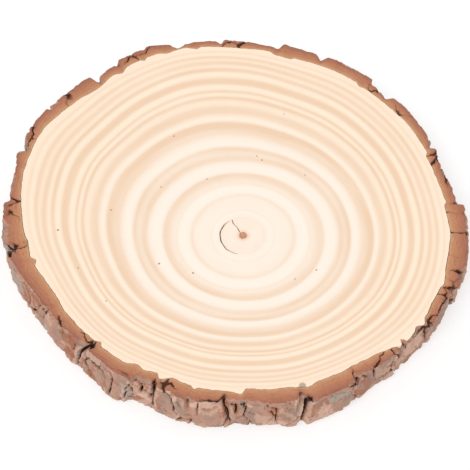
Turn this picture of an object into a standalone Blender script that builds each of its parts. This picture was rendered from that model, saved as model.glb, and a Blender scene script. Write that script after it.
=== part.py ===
"""Wood slice: a round sawn across a conifer trunk, with its bark left on.

Two bodies, as the tree grew them: the pale disc of wood and the ring of scaly
bark around it. Metres, +Z up. The origin is the pith on the underside, +X is
right and -Y is the side that faces the viewer. Angles are in degrees,
counter-clockwise from +X seen from above.
"""
import math
import random

import bpy

# Driving dimensions
MM = 0.001
THICKNESS = 22.0 * MM
SEAM = 0.3 * MM
THINNEST_BARK = 1.4 * MM

# Radial sections round the ring (256 is the most that a torus primitive takes)
# and rows of faces up the side of the bark
SECTIONS = 256
SIDE_LEVELS = 11

# Radius of the wood every 15 degrees, in mm. The pith lies off centre, because
# the trunk grew fastest towards 105 degrees and slowest towards 270.
WOOD_RADII = (
    107.0, 109.5, 114.3, 119.7, 125.3, 128.0, 133.2, 136.5,
    134.0, 130.8, 129.7, 121.5, 112.5, 103.0, 97.6, 94.5,
    91.3, 90.5, 89.8, 91.0, 92.3, 96.5, 101.8, 104.7,
)

# Bark plates in plan: the angles where each starts and ends, the thickness of
# the bark at those two ends, and what is left of it in the furrow that follows,
# in mm.
BARK_PLATES = (
    (-11.0, 9.8, 9.2, 9.4, 4.0),
    (11.4, 24.0, 5.8, 4.3, 4.4),
    (25.6, 29.3, 4.8, 6.4, 3.6),
    (31.6, 47.6, 6.2, 7.2, 3.0),
    (51.8, 54.4, 3.9, 4.6, 4.8),
    (55.8, 68.2, 7.6, 9.0, 4.6),
    (71.6, 79.6, 8.5, 9.2, 4.4),
    (82.6, 94.0, 5.2, 6.8, 3.6),
    (96.2, 103.4, 5.0, 5.2, 2.6),
    (107.4, 112.4, 6.8, 10.0, 8.6),
    (114.2, 119.6, 9.2, 9.4, 4.8),
    (121.8, 125.4, 6.6, 6.2, 2.2),
    (128.2, 140.2, 9.0, 9.2, 7.4),
    (141.6, 148.4, 8.5, 7.4, 6.4),
    (149.6, 152.6, 6.8, 5.0, 2.6),
    (155.2, 158.2, 7.2, 5.8, 5.0),
    (160.0, 168.4, 5.2, 6.0, 5.6),
    (170.6, 182.0, 9.2, 11.4, 8.6),
    (184.4, 203.0, 11.4, 7.8, 6.2),
    (205.2, 219.4, 7.2, 5.2, 2.4),
    (222.4, 237.4, 6.0, 8.0, 4.6),
    (239.2, 242.8, 5.0, 4.6, 2.8),
    (245.4, 253.2, 6.2, 7.6, 5.4),
    (255.2, 263.0, 7.2, 6.6, 3.6),
    (266.4, 284.4, 5.6, 7.6, 2.8),
    (288.6, 302.0, 9.2, 8.6, 5.0),
    (304.6, 317.6, 5.8, 4.4, 2.6),
    (320.6, 326.4, 2.8, 2.6, 2.4),
    (329.2, 341.2, 5.0, 4.8, 3.0),
    (343.6, 347.4, 8.2, 7.4, 5.8),
)

# How far the side of the bark flares out at the underside every 30 degrees, in
# mm. It leans in where the value is below zero.
SIDE_FLARE = (0.5, 0.8, 1.0, 1.0, 1.0, 1.2, 1.0, 3.8, 3.8, 3.0, 1.4, -0.6)

# The furrows lean this way and that as they run down: how far, in degrees, how
# many times round the ring, and where the first leans.
FURROW_LEAN = 2.4
FURROW_LEAN_WAVES = 5
FURROW_LEAN_START = 20.0

# Loose scales on the side of the bark. SCALE_EDGE is the share of a scale that
# slopes down to its edge, and SCALE_FADE the share of the side, under the sawn
# face, over which the scales fade out.
SCALE_SEED = 11
SCALE_COUNT = 130
SCALE_HALF_WIDTH = (4.0 * MM, 11.0 * MM)
SCALE_HALF_HEIGHT = (2.5 * MM, 7.0 * MM)
SCALE_LIFT = (0.8 * MM, 2.4 * MM)
SCALE_EDGE = 0.3
SCALE_FADE = 0.2

# Small bumps all over the side
ROUGHNESS_SEED = 5
ROUGHNESS = 0.35 * MM

WOOD_COLOUR = (0.88, 0.74, 0.58)
BARK_COLOUR = (0.27, 0.13, 0.075)
SHARP_EDGE = math.radians(40.0)


def clear_scene():
    for obj in list(bpy.data.objects):
        bpy.data.objects.remove(obj, do_unlink=True)


def ease(value):
    """Smooth step from 0 to 1."""
    value = min(max(value, 0.0), 1.0)
    return value * value * (3.0 - 2.0 * value)


def closed_curve(values, angle):
    """A smooth closed curve through values that are evenly spaced round the ring."""
    count = len(values)
    place = (angle % 360.0) / 360.0 * count
    index = int(place)
    part = place - index
    before, here, after, beyond = (
        values[(index + offset) % count] for offset in (-1, 0, 1, 2))
    slope = after - before
    curve = 2.0 * before - 5.0 * here + 4.0 * after - beyond
    twist = 3.0 * here - before - 3.0 * after + beyond
    return here + 0.5 * part * (slope + part * (curve + part * twist))


def wood_radius(angle):
    return MM * closed_curve(WOOD_RADII, angle)


def bark_knots():
    """Angle and thickness at each end of each plate and in each furrow."""
    knots = []
    for number, plate in enumerate(BARK_PLATES):
        start, end, thick_start, thick_end, furrow = plate
        next_start = BARK_PLATES[(number + 1) % len(BARK_PLATES)][0]
        if next_start < end:
            next_start += 360.0
        knots.append((start, thick_start * MM))
        knots.append((end, thick_end * MM))
        knots.append(((end + next_start) / 2.0, furrow * MM))
    first_angle, first_thickness = knots[0]
    knots.append((first_angle + 360.0, first_thickness))
    return knots


def bark_thickness(angle, knots):
    """Bark between the wood and the edge of the sawn face."""
    angle = (angle - knots[0][0]) % 360.0 + knots[0][0]
    for (low, thick_low), (high, thick_high) in zip(knots, knots[1:]):
        if angle <= high:
            return thick_low + (thick_high - thick_low) * ease((angle - low) / (high - low))
    return knots[-1][1]


def section_angles(knots):
    """Angles of the sections: one on every knot, the rest where gaps are widest."""
    angles = [angle for angle, _ in knots]
    gaps = [high - low for low, high in zip(angles, angles[1:])]
    shares = [1] * len(gaps)
    while sum(shares) < SECTIONS:
        widest = max(range(len(gaps)), key=lambda gap: gaps[gap] / shares[gap])
        shares[widest] += 1
    return [
        low + gap * step / share
        for low, gap, share in zip(angles, gaps, shares)
        for step in range(share)
    ]


def make_scales():
    """Centre angle, centre height, half width, half height and lift of each scale."""
    draw = random.Random(SCALE_SEED)
    return [
        (draw.uniform(0.0, 360.0), draw.uniform(0.0, THICKNESS),
         draw.uniform(*SCALE_HALF_WIDTH), draw.uniform(*SCALE_HALF_HEIGHT),
         draw.uniform(*SCALE_LIFT))
        for _ in range(SCALE_COUNT)
    ]


def scale_relief(angle, height, radius, scales):
    """How far the scales stand out: each lifts towards its lower edge."""
    relief = 0.0
    for centre, middle, half_width, half_height, lift in scales:
        turn = (angle - centre + 180.0) % 360.0 - 180.0
        across = abs(math.radians(turn)) * radius / half_width
        along = (height - middle) / half_height
        if across < 1.0 and abs(along) < 1.0:
            edge = ease((1.0 - across) / SCALE_EDGE) * ease((1.0 + along) / SCALE_EDGE)
            relief = max(relief, lift * edge * (1.0 - along) / 2.0)
    return relief


def bark_radius(angle, height, knots, scales):
    """Outer radius of the bark at an angle and a height."""
    below_top = 1.0 - height / THICKNESS
    wave = math.radians(FURROW_LEAN_WAVES * angle + FURROW_LEAN_START)
    lean = FURROW_LEAN * below_top * math.sin(wave)
    flare = MM * closed_curve(SIDE_FLARE, angle) * math.sqrt(below_top)
    thickness = bark_thickness(angle + lean, knots) + flare
    radius = wood_radius(angle) + thickness
    return radius + scale_relief(angle, height, radius, scales) * ease(below_top / SCALE_FADE)


def make_material(name, colour, roughness):
    material = bpy.data.materials.new(name)
    material.use_nodes = True
    shader = material.node_tree.nodes["Principled BSDF"]
    shader.inputs["Base Color"].default_value = (*colour, 1.0)
    shader.inputs["Roughness"].default_value = roughness
    shader.inputs["Metallic"].default_value = 0.0
    return material


def finish_piece(piece, name, material, collection):
    """Name a piece, shade it, and move it to the part's collection."""
    piece.name = name
    piece.data.name = name
    piece.data.materials.append(material)
    piece.data.shade_smooth()
    piece.data.set_sharp_from_angle(angle=SHARP_EDGE)
    for old in list(piece.users_collection):
        old.objects.unlink(piece)
    collection.objects.link(piece)


def make_wood(collection, angles):
    """The disc of wood: a cylinder whose rim is drawn out to the trunk's outline."""
    bpy.ops.mesh.primitive_cylinder_add(
        vertices=SECTIONS, radius=1.0, depth=THICKNESS, end_fill_type="TRIFAN",
        location=(0.0, 0.0, THICKNESS / 2.0))
    wood = bpy.context.object
    for vertex in wood.data.vertices:
        x, y, z = vertex.co
        on_rim = math.hypot(x, y) > 0.5
        if on_rim:
            section = round(math.atan2(y, x) / math.tau * SECTIONS) % SECTIONS
            radius = wood_radius(angles[section])
            turn = math.radians(angles[section])
            vertex.co = (radius * math.cos(turn), radius * math.sin(turn), z)
    finish_piece(wood, "wood", make_material("pale_wood", WOOD_COLOUR, 0.6), collection)


def make_bark(collection, angles, knots):
    """The ring of bark: a torus whose round section becomes the bark's section."""
    scales = make_scales()
    roughness = random.Random(ROUGHNESS_SEED)
    section_points = SIDE_LEVELS + 3
    bpy.ops.mesh.primitive_torus_add(
        major_segments=SECTIONS, minor_segments=section_points, generate_uvs=False)
    bark = bpy.context.object
    for index, vertex in enumerate(bark.data.vertices):
        section, corner = divmod(index, section_points)
        angle = angles[section]
        inner = wood_radius(angle) + SEAM
        if corner <= SIDE_LEVELS:
            height = THICKNESS * corner / SIDE_LEVELS
            radius = bark_radius(angle, height, knots, scales)
            radius += roughness.uniform(-ROUGHNESS, ROUGHNESS)
            radius = max(radius, inner + THINNEST_BARK)
        else:
            height = THICKNESS if corner == SIDE_LEVELS + 1 else 0.0
            radius = inner
        turn = math.radians(angle)
        vertex.co = (radius * math.cos(turn), radius * math.sin(turn), height)
    finish_piece(bark, "bark", make_material("bark", BARK_COLOUR, 0.9), collection)


def main():
    clear_scene()
    collection = bpy.data.collections.new("wood_slice")
    bpy.context.scene.collection.children.link(collection)
    knots = bark_knots()
    angles = section_angles(knots)
    make_wood(collection, angles)
    make_bark(collection, angles, knots)


main()
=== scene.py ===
# %% [markdown]
# This lesson dresses a slice of pine trunk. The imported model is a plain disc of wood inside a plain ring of
# bark. Both are replaced here by finer meshes that follow the same outline: the wood gets its growth rings,
# pith and cracks, and the bark its plates, furrows, scales and loose flakes. Lengths are in mm until the
# very end of each piece, because a tree slice is easiest to think of in mm, and Blender takes metres.

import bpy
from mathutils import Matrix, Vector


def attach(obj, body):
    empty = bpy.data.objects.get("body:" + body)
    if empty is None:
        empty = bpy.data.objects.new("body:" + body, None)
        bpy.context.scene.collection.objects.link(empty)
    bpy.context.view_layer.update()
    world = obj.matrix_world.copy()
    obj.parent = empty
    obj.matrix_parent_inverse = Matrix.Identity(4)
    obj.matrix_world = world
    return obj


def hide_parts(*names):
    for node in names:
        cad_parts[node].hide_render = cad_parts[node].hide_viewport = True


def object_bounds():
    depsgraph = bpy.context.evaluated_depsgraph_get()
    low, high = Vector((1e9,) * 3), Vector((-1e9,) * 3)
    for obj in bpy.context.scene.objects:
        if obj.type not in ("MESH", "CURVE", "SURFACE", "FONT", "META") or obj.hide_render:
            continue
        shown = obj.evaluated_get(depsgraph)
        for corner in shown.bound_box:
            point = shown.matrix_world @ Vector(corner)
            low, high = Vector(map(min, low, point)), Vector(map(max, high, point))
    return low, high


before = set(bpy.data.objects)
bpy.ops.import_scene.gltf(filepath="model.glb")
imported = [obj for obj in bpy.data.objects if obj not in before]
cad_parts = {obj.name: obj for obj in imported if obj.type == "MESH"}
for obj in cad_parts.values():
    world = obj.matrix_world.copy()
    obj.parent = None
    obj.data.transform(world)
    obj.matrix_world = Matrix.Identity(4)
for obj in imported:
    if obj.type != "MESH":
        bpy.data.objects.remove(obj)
cad_low, cad_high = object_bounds()
print("the packed slice measures", [round(1000.0 * side, 1) for side in cad_high - cad_low], "mm")

# %% Blender's modules, and mm
import math

import bpy
import numpy as np
from mathutils import Vector

MM = 0.001
THICKNESS = 1000.0 * (cad_high.z - cad_low.z)
print("thickness:", round(THICKNESS, 2), "mm")

# %% [markdown]
# The photograph looks down at the slice from in front, at about 55 degrees, from 60 cm away. The camera is
# placed from those facts: it looks at the pith on the sawn face, and is then moved sideways and up in its
# own plane by the few pixels that the pith lies off the middle of the picture.

# %% Camera
PICTURE = 470
PITH_PIXEL = (242.9, 235.4)
FOCAL_PIXELS = 1165.0
SENSOR = 36.0
VIEW_ELEVATION = math.radians(54.6)
VIEW_DISTANCE = 0.600

back = Vector((0.0, -math.cos(VIEW_ELEVATION), math.sin(VIEW_ELEVATION)))
right = Vector((1.0, 0.0, 0.0))
up = back.cross(right)
pixel = VIEW_DISTANCE / FOCAL_PIXELS
pith_right = (PITH_PIXEL[0] - PICTURE / 2) * pixel
pith_down = (PITH_PIXEL[1] - PICTURE / 2) * pixel
pith = Vector((0.0, 0.0, THICKNESS * MM))

bpy.ops.object.select_all(action="DESELECT")
bpy.ops.object.camera_add(rotation=(math.pi / 2 - VIEW_ELEVATION, 0.0, 0.0))
camera = bpy.context.object
camera.name = "camera"
camera.location = pith + VIEW_DISTANCE * back - pith_right * right + pith_down * up
camera.data.sensor_width = SENSOR
camera.data.lens = SENSOR * FOCAL_PIXELS / PICTURE
bpy.context.scene.camera = camera
print("camera at", [round(value, 4) for value in camera.location], "lens", round(camera.data.lens, 1), "mm")

# %% [markdown]
# A material in Blender is a net of nodes, and arithmetic in it takes one Math node for each sign. This small
# class lets the arithmetic be written as in Python: adding, subtracting or multiplying two shades adds the
# Math node for it. Every other kind of node comes from the one method called node.

# %% A shade: one value in a material
class Shade:
    """One output in a material's nodes. Python's operators on it add Math nodes."""

    def __init__(self, tree, socket=None):
        self.tree = tree
        self.socket = socket

    def node(self, kind, settings=None, sockets=None, output=0):
        """Add a node. Its settings go in first, then a value or a link for each socket."""
        made = self.tree.nodes.new(kind)
        for name, value in (settings or {}).items():
            if name == "stops":
                set_stops(made.color_ramp, value)
            else:
                setattr(made, name, value)
        for name, value in (sockets or {}).items():
            if isinstance(value, Shade):
                self.tree.links.new(value.socket, made.inputs[name])
            else:
                made.inputs[name].default_value = value
        return Shade(self.tree, made.outputs[output])

    def math(self, operation, *others, clamp=False):
        values = dict(enumerate((self, *others)))
        return self.node("ShaderNodeMath", {"operation": operation, "use_clamp": clamp}, values)

    def __add__(self, other):
        return self.math("ADD", other)

    def __radd__(self, other):
        return self.math("ADD", other)

    def __sub__(self, other):
        return self.math("SUBTRACT", other)

    def __rsub__(self, other):
        return self.node("ShaderNodeMath", {"operation": "SUBTRACT"}, {0: other, 1: self})

    def __mul__(self, other):
        return self.math("MULTIPLY", other)

    def __rmul__(self, other):
        return self.math("MULTIPLY", other)

    def __truediv__(self, other):
        return self.math("DIVIDE", other)

    def clamped(self):
        return self.math("ADD", 0.0, clamp=True)

    def smooth(self, low, high):
        """0 below low and 1 above high, with a smooth step between. Low may be the larger."""
        return self.node("ShaderNodeMapRange", {"interpolation_type": "SMOOTHSTEP"},
                         {"Value": self, "From Min": low, "From Max": high})

    def vector(self, operation, other=(0.0, 0.0, 0.0), output="Vector"):
        return self.node("ShaderNodeVectorMath", {"operation": operation}, {0: self, 1: other}, output)

    def noise(self, scale, detail=2.0, roughness=0.5):
        """Noise about 0, from -1 to 1, read at this vector."""
        value = self.node("ShaderNodeTexNoise", None, {
            "Vector": self, "Scale": scale, "Detail": detail, "Roughness": roughness})
        return value * 2.0 - 1.0


def set_stops(ramp, stops):
    """Put a colour or a grey level at each place on a colour ramp."""
    while len(ramp.elements) > 1:
        ramp.elements.remove(ramp.elements[-1])
    for number, (place, level) in enumerate(stops):
        element = ramp.elements[0] if number == 0 else ramp.elements.new(place)
        element.position = place
        element.color = level if isinstance(level, tuple) else (level, level, level, 1.0)


def mixed(first, second, factor):
    """Blend two colours. The factor is a shade, and either colour may be one."""
    shade = next(item for item in (factor, first, second) if isinstance(item, Shade))
    return shade.node("ShaderNodeMix", {"data_type": "RGBA"}, {0: factor, 6: first, 7: second}, 2)


def srgb(red, green, blue):
    """A colour as it is read off a picture, from 0 to 255, as Blender's linear light."""
    levels = [level / 255.0 for level in (red, green, blue)]
    linear = [((v + 0.055) / 1.055) ** 2.4 if v > 0.04045 else v / 12.92 for v in levels]
    return (*linear, 1.0)


def new_finish(name):
    """A new material: the material, its shader, and a shade to start from."""
    material = bpy.data.materials.new(name)
    material.use_nodes = True
    shader = material.node_tree.nodes["Principled BSDF"]
    return material, shader, Shade(material.node_tree)


def plug_in(shader, **shades):
    """Link shades to the shader's sockets, named with _ for a space."""
    for name, shade in shades.items():
        socket = shader.inputs[name.replace("_", " ")]
        shade.tree.links.new(shade.socket, socket)

print("shade expressions are ready")

# %% [markdown]
# The slice was photographed on a light table, so there is hardly a shadow and the floor is pure white. A
# pale floor that glows a little does the same here. The sky gives most of the light, and one large soft sun
# from the upper left adds just enough shading to read the bark's relief.

# %% Floor and light
FLOOR_SIDE = 4.0
FLOOR_BELOW = -0.0002
FLOOR_GLOW = 0.55
FLOOR_WHITE = (0.45, 0.45, 0.45, 1.0)
SKY_STRENGTH = 0.78
SUN_STRENGTH = 1.35
SUN_SOFTNESS = math.radians(35.0)
SUN_TURN = (math.radians(38.0), 0.0, math.radians(-35.0))

bpy.ops.object.select_all(action="DESELECT")
bpy.ops.mesh.primitive_plane_add(size=FLOOR_SIDE, location=(0.0, 0.0, FLOOR_BELOW))
floor = bpy.context.object
floor.name = "floor"
floor_finish, floor_shader, _ = new_finish("pale_floor")
floor_shader.inputs["Base Color"].default_value = FLOOR_WHITE
floor_shader.inputs["Roughness"].default_value = 0.9
floor_shader.inputs["Emission Color"].default_value = (1.0, 1.0, 1.0, 1.0)
floor_shader.inputs["Emission Strength"].default_value = FLOOR_GLOW
floor.data.materials.append(floor_finish)

bpy.ops.object.light_add(type="SUN", rotation=SUN_TURN)
sun = bpy.context.object
sun.name = "soft_sun"
sun.data.energy = SUN_STRENGTH
sun.data.angle = SUN_SOFTNESS

world = bpy.data.worlds.new("white_room")
bpy.context.scene.world = world
world.use_nodes = True
sky = world.node_tree.nodes["Background"]
sky.inputs["Color"].default_value = (1.0, 1.0, 1.0, 1.0)
sky.inputs["Strength"].default_value = SKY_STRENGTH
bpy.context.scene.view_settings.view_transform = "Standard"
print("the sky gives", SKY_STRENGTH, "and the sun", round(SUN_STRENGTH / math.pi, 2), "of white")

# %% [markdown]
# A trunk isn't round, and its pith isn't in the middle. The outline of the wood is a smooth closed curve
# through one radius for every 15 degrees, and the bark is a thickness added outside it, plate by plate. The
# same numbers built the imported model, so the finer meshes sit where its solids are.

# %% Outline of the wood and the bark
WOOD_RADII = (
    107.0, 109.5, 114.3, 119.7, 125.3, 128.0, 133.2, 136.5,
    134.0, 130.8, 129.7, 121.5, 112.5, 103.0, 97.6, 94.5,
    91.3, 90.5, 89.8, 91.0, 92.3, 96.5, 101.8, 104.7,
)
MEAN_RADIUS = sum(WOOD_RADII) / len(WOOD_RADII)
SEAM = 0.3

# Each plate of bark: the angles where it starts and ends, its thickness at both, and the thickness that is
# left in the furrow after it.
BARK_PLATES = (
    (-11.0, 9.8, 9.2, 9.4, 4.0),
    (11.4, 24.0, 5.8, 4.3, 4.4),
    (25.6, 29.3, 4.8, 6.4, 3.6),
    (31.6, 47.6, 6.2, 7.2, 3.0),
    (51.8, 54.4, 3.9, 4.6, 4.8),
    (55.8, 68.2, 7.6, 9.0, 4.6),
    (71.6, 79.6, 8.5, 9.2, 4.4),
    (82.6, 94.0, 5.2, 6.8, 3.6),
    (96.2, 103.4, 5.0, 5.2, 2.6),
    (107.4, 112.4, 6.8, 10.0, 8.6),
    (114.2, 119.6, 9.2, 9.4, 4.8),
    (121.8, 125.4, 6.6, 6.2, 2.2),
    (128.2, 140.2, 9.0, 9.2, 7.4),
    (141.6, 148.4, 8.5, 7.4, 6.4),
    (149.6, 152.6, 6.8, 5.0, 2.6),
    (155.2, 158.2, 7.2, 5.8, 5.0),
    (160.0, 168.4, 5.2, 6.0, 5.6),
    (170.6, 182.0, 9.2, 11.4, 8.6),
    (184.4, 203.0, 11.4, 7.8, 6.2),
    (205.2, 219.4, 7.2, 5.2, 2.4),
    (222.4, 237.4, 6.0, 8.0, 4.6),
    (239.2, 242.8, 5.0, 4.6, 2.8),
    (245.4, 253.2, 6.2, 7.6, 5.4),
    (255.2, 263.0, 7.2, 6.6, 3.6),
    (266.4, 284.4, 5.6, 7.6, 2.8),
    (288.6, 302.0, 9.2, 8.6, 5.0),
    (304.6, 317.6, 5.8, 4.4, 2.6),
    (320.6, 326.4, 2.8, 2.6, 2.4),
    (329.2, 341.2, 5.0, 4.8, 3.0),
    (343.6, 347.4, 8.2, 7.4, 5.8),
)


def ease(value):
    """Smooth step from 0 to 1."""
    value = np.clip(value, 0.0, 1.0)
    return value * value * (3.0 - 2.0 * value)


def closed_curve(values, angle):
    """A smooth closed curve through values that are evenly spaced round the ring."""
    values = np.array(values)
    place = (angle % 360.0) / 360.0 * len(values)
    index = np.floor(place).astype(int)
    part = place - index
    before, here, after, beyond = (values[(index + offset) % len(values)] for offset in (-1, 0, 1, 2))
    slope = after - before
    curve = 2.0 * before - 5.0 * here + 4.0 * after - beyond
    twist = 3.0 * here - before - 3.0 * after + beyond
    return here + 0.5 * part * (slope + part * (curve + part * twist))


def stepped(knots, angle):
    """Eased steps between knots of (angle, value), which go once round the ring."""
    places = np.array([knot[0] for knot in knots] + [knots[0][0] + 360.0])
    values = np.array([knot[1] for knot in knots] + [knots[0][1]])
    angle = (angle - places[0]) % 360.0 + places[0]
    low = np.clip(np.searchsorted(places, angle, side="right") - 1, 0, len(knots) - 1)
    part = ease((angle - places[low]) / (places[low + 1] - places[low]))
    return values[low] + (values[low + 1] - values[low]) * part


def bark_knots():
    """Angle and thickness at each end of each plate and in each furrow."""
    knots = []
    for number, (start, end, thick_start, thick_end, furrow) in enumerate(BARK_PLATES):
        next_start = BARK_PLATES[(number + 1) % len(BARK_PLATES)][0]
        if next_start < end:
            next_start += 360.0
        knots += [(start, thick_start), (end, thick_end), ((end + next_start) / 2.0, furrow)]
    return knots


def wood_radius(angle):
    return closed_curve(WOOD_RADII, angle)

print("mean radius of the wood:", round(MEAN_RADIUS, 1), "mm, with", len(BARK_PLATES), "plates of bark")

# %% [markdown]
# Where wood meets bark the real line isn't as smooth as that: the bark steps in and out by a millimetre or
# two, and here and there a plate bites into the wood. These few knots hold the steps that show. A finer
# random wander is added to them. It needs noise that closes round the ring without a seam, so the noise is
# read on the unrolled bark, whose length is a whole number of cells.

# %% Noise on the unrolled bark
GIRTH = 741.0


def random_at(column, row, seed):
    """A repeatable random number from 0 to 1 for each whole column and row."""
    key = column.astype(np.int64) * 374761393 + row.astype(np.int64) * 668265263 + seed * 974634777
    key = (key ^ (key >> 13)) * 1274126177 & 0xFFFFFFFF
    key = (key ^ (key >> 15)) * 2246822519 & 0xFFFFFFFF
    return ((key ^ (key >> 16)) & 0xFFFFF) / 0xFFFFF


def noise(along, up, length, height, seed):
    """Smooth noise from about -1 to 1, whose bumps are length by height mm."""
    count = round(GIRTH / length)
    x = along / GIRTH * count
    y = up / height + 0.37 * seed
    column = np.floor(x)
    row = np.floor(y)
    total = 0.0
    for right_side in (0, 1):
        for upper in (0, 1):
            turn = math.tau * random_at((column + right_side) % count, row + upper, seed)
            dx = x - column - right_side
            dy = y - row - upper
            weight = (1.0 - ease(abs(dx))) * (1.0 - ease(abs(dy)))
            total = total + weight * (np.cos(turn) * dx + np.sin(turn) * dy)
    return 1.5 * total


def cells(along, up, length, height, seed):
    """Distance in mm to the border between cells of about that size, and each cell's random number."""
    count = round(GIRTH / length)
    x = along / GIRTH * count
    y = up / height + 0.37 * seed
    first = np.full(np.shape(x), 1e6)
    second = np.full(np.shape(x), 1e6)
    tag = np.zeros(np.shape(x))
    for sideways in (-1, 0, 1):
        for upwards in (-1, 0, 1):
            column = np.floor(x) + sideways
            row = np.floor(y) + upwards
            middle_x = column + 0.1 + 0.8 * random_at(column % count, row, seed)
            middle_y = row + 0.1 + 0.8 * random_at(column % count, row, seed + 1)
            distance = np.hypot((middle_x - x) * length, (middle_y - y) * height)
            nearer = distance < first
            second = np.where(nearer, first, np.minimum(second, distance))
            tag = np.where(nearer, random_at(column % count, row, seed + 2), tag)
            first = np.minimum(first, distance)
    return (second - first) / 2.0, tag

# The line between wood and bark: angle, and mm outside the smooth outline
BARK_LINE = (
    (0.0, -0.2), (6.0, -0.7), (10.2, -1.2), (11.5, 0.2), (15.0, -0.4), (22.0, -0.9), (27.5, -1.3),
    (29.2, 0.4), (39.0, 0.7), (48.0, -0.3), (56.0, -0.8), (57.2, -1.7), (59.0, 0.0), (70.0, 0.8),
    (76.4, 0.6), (77.4, -1.1), (81.5, -0.7), (83.2, 1.1), (90.0, 0.0), (100.0, 0.5), (101.0, -0.8),
    (104.0, 1.3), (108.6, 0.0), (111.0, 2.0), (113.6, 2.1), (114.4, 0.2), (115.4, 2.1), (119.0, 1.6),
    (121.0, -1.1), (123.0, 0.6), (128.4, -1.5), (136.0, 0.3), (144.0, 0.6), (154.0, -0.5), (162.0, 0.2),
    (171.0, -0.5), (180.0, -0.4), (182.0, -0.9), (187.0, 0.9), (188.2, -0.9), (190.4, 1.2), (195.0, 0.2),
    (202.0, -0.4), (207.0, 0.5), (214.0, 0.5), (220.6, 0.0), (222.4, -1.4), (224.0, 0.2), (232.6, 0.8),
    (236.2, -1.1), (239.0, 0.2), (243.0, -1.1), (244.2, 1.2), (248.0, -1.3), (254.0, -0.4), (255.2, 1.3),
    (256.4, 0.1), (264.0, 0.0), (269.4, 1.4), (270.8, -1.5), (276.0, -0.8), (283.0, -0.7), (289.8, 1.1),
    (293.0, 0.0), (300.0, -0.2), (305.0, -1.1), (312.0, -1.2), (317.0, 0.2), (319.6, 2.0), (321.0, -0.8),
    (322.2, 1.8), (325.0, 1.0), (327.0, -0.6), (329.0, 1.8), (331.2, -0.4), (337.0, -1.3), (342.0, -0.9),
    (343.4, 0.4), (349.0, -1.1), (355.0, -0.8),
)


def bark_line(angle):
    """Radius where the wood ends and the bark begins."""
    along = angle / 360.0 * GIRTH
    wander = 0.28 * noise(along, 0.0 * along, 4.2, 1.0, 21) + 0.16 * noise(along, 0.0 * along, 1.9, 1.0, 22)
    return wood_radius(angle) + stepped(BARK_LINE, angle) + wander

ring = np.arange(0.0, 360.0, 0.25)
wander = bark_line(ring) - wood_radius(ring)
print("the line wanders from", round(wander.min(), 2), "to", round(wander.max(), 2), "mm")

# %% [markdown]
# Growth rings of a conifer: each year lays a wide pale band in spring and a thin tan one in summer, which
# ends sharply. The first rings are round, and the later ones take on the shape of the trunk, so the radius
# of a ring depends on its age and on the direction. Age here is 0 at the pith and 1 at the bark. The rings
# also sway a little: by how much is given for twelve directions at three ages.

# %% Shape of the growth rings
OVAL_FROM = 0.28
OVAL_SPAN = 0.85

# Sway in thousandths of the age, every 30 degrees
RING_SWAY = (
    (0.20, (0, 0, 0, 0, 0, 0, 0, 0, 0, 0, 0, 0)),
    (0.42, (12, 7, -6, -8, 3, 4, 5, -1, -9, -8, 2, 11)),
    (0.65, (-2, -12, -22, -4, 3, 1, 5, 16, 0, -4, 5, -6)),
    (0.78, (-6, -9, -14, 2, 2, -22, -3, 22, 2, -2, 6, -11)),
    (0.88, (-14, -16, -20, -2, -9, -32, -14, 14, 6, 2, 9, -18)),
    (1.00, (0, 0, 0, 0, 0, 0, 0, 0, 0, 0, 0, 0)),
)


def ring_radius(age, angle):
    """Radius in mm of the ring of that age, before it sways."""
    trunk = ease((age - OVAL_FROM) / OVAL_SPAN) / ease((1.0 - OVAL_FROM) / OVAL_SPAN)
    return MEAN_RADIUS * age + (wood_radius(angle) - MEAN_RADIUS) * trunk


def sway(age, angle):
    """How much younger the wood is there than the plain ring says."""
    total = 0.0
    for (low, low_row), (high, high_row) in zip(RING_SWAY, RING_SWAY[1:]):
        inside = (age >= low) & (age < high)
        part = (age - low) / (high - low)
        value = closed_curve(low_row, angle) * (1.0 - part) + closed_curve(high_row, angle) * part
        total = total + np.where(inside, value, 0.0)
    return total / 1000.0

print("a ring of age 0.5 runs from", round(ring_radius(0.5, ring).min(), 1), "to",
      round(ring_radius(0.5, ring).max(), 1), "mm")

# %% [markdown]
# The wood is one solid disc. It could be a cylinder with loops cut into it, but the rings and cracks need
# circles of vertices at chosen ages, closed at the pith on both faces. A UV sphere has just that net: circles
# from pole to pole. So a sphere is added and pressed flat: its northern circles become the sawn face, those
# at the equator the edge, and the southern ones the underside.

# %% Circles of the wood
TURN_STEPS = 720
SHAKE_AGE = 0.106

fine_ages = np.linspace(0.088, 0.124, 24)
top_ages = np.concatenate((
    np.linspace(0.0, fine_ages[0], 11)[:-1], fine_ages,
    np.linspace(fine_ages[-1], 0.94, 52)[1:], np.linspace(0.94, 1.0, 10)[1:]))
edge_heights = np.linspace(THICKNESS, 0.0, 5)[1:-1]
under_ages = np.linspace(1.0, 0.0, 26)
circle_age = np.concatenate((top_ages, np.ones(len(edge_heights)), under_ages))
circle_height = np.concatenate((
    np.full(len(top_ages), THICKNESS), edge_heights, np.zeros(len(under_ages))))
print(len(circle_age), "circles of", TURN_STEPS, "vertices")

# %% [markdown]
# The cracks are real grooves, cut as far as the net allows. A ring shake is a crack that follows a ring: it
# runs round the left half of the heart. A short radial check joins it to the pith.

# %% Cracks in the wood
SHAKE_FROM = 108.0
SHAKE_TO = 262.0
SHAKE_WIDTH = 0.30
CHECK_ANGLE = 120.0
CHECK_TO = 12.0
CRACK_DEPTH = 1.6
PITH_RADIUS = 1.9
PITH_DEPTH = 0.45


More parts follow.
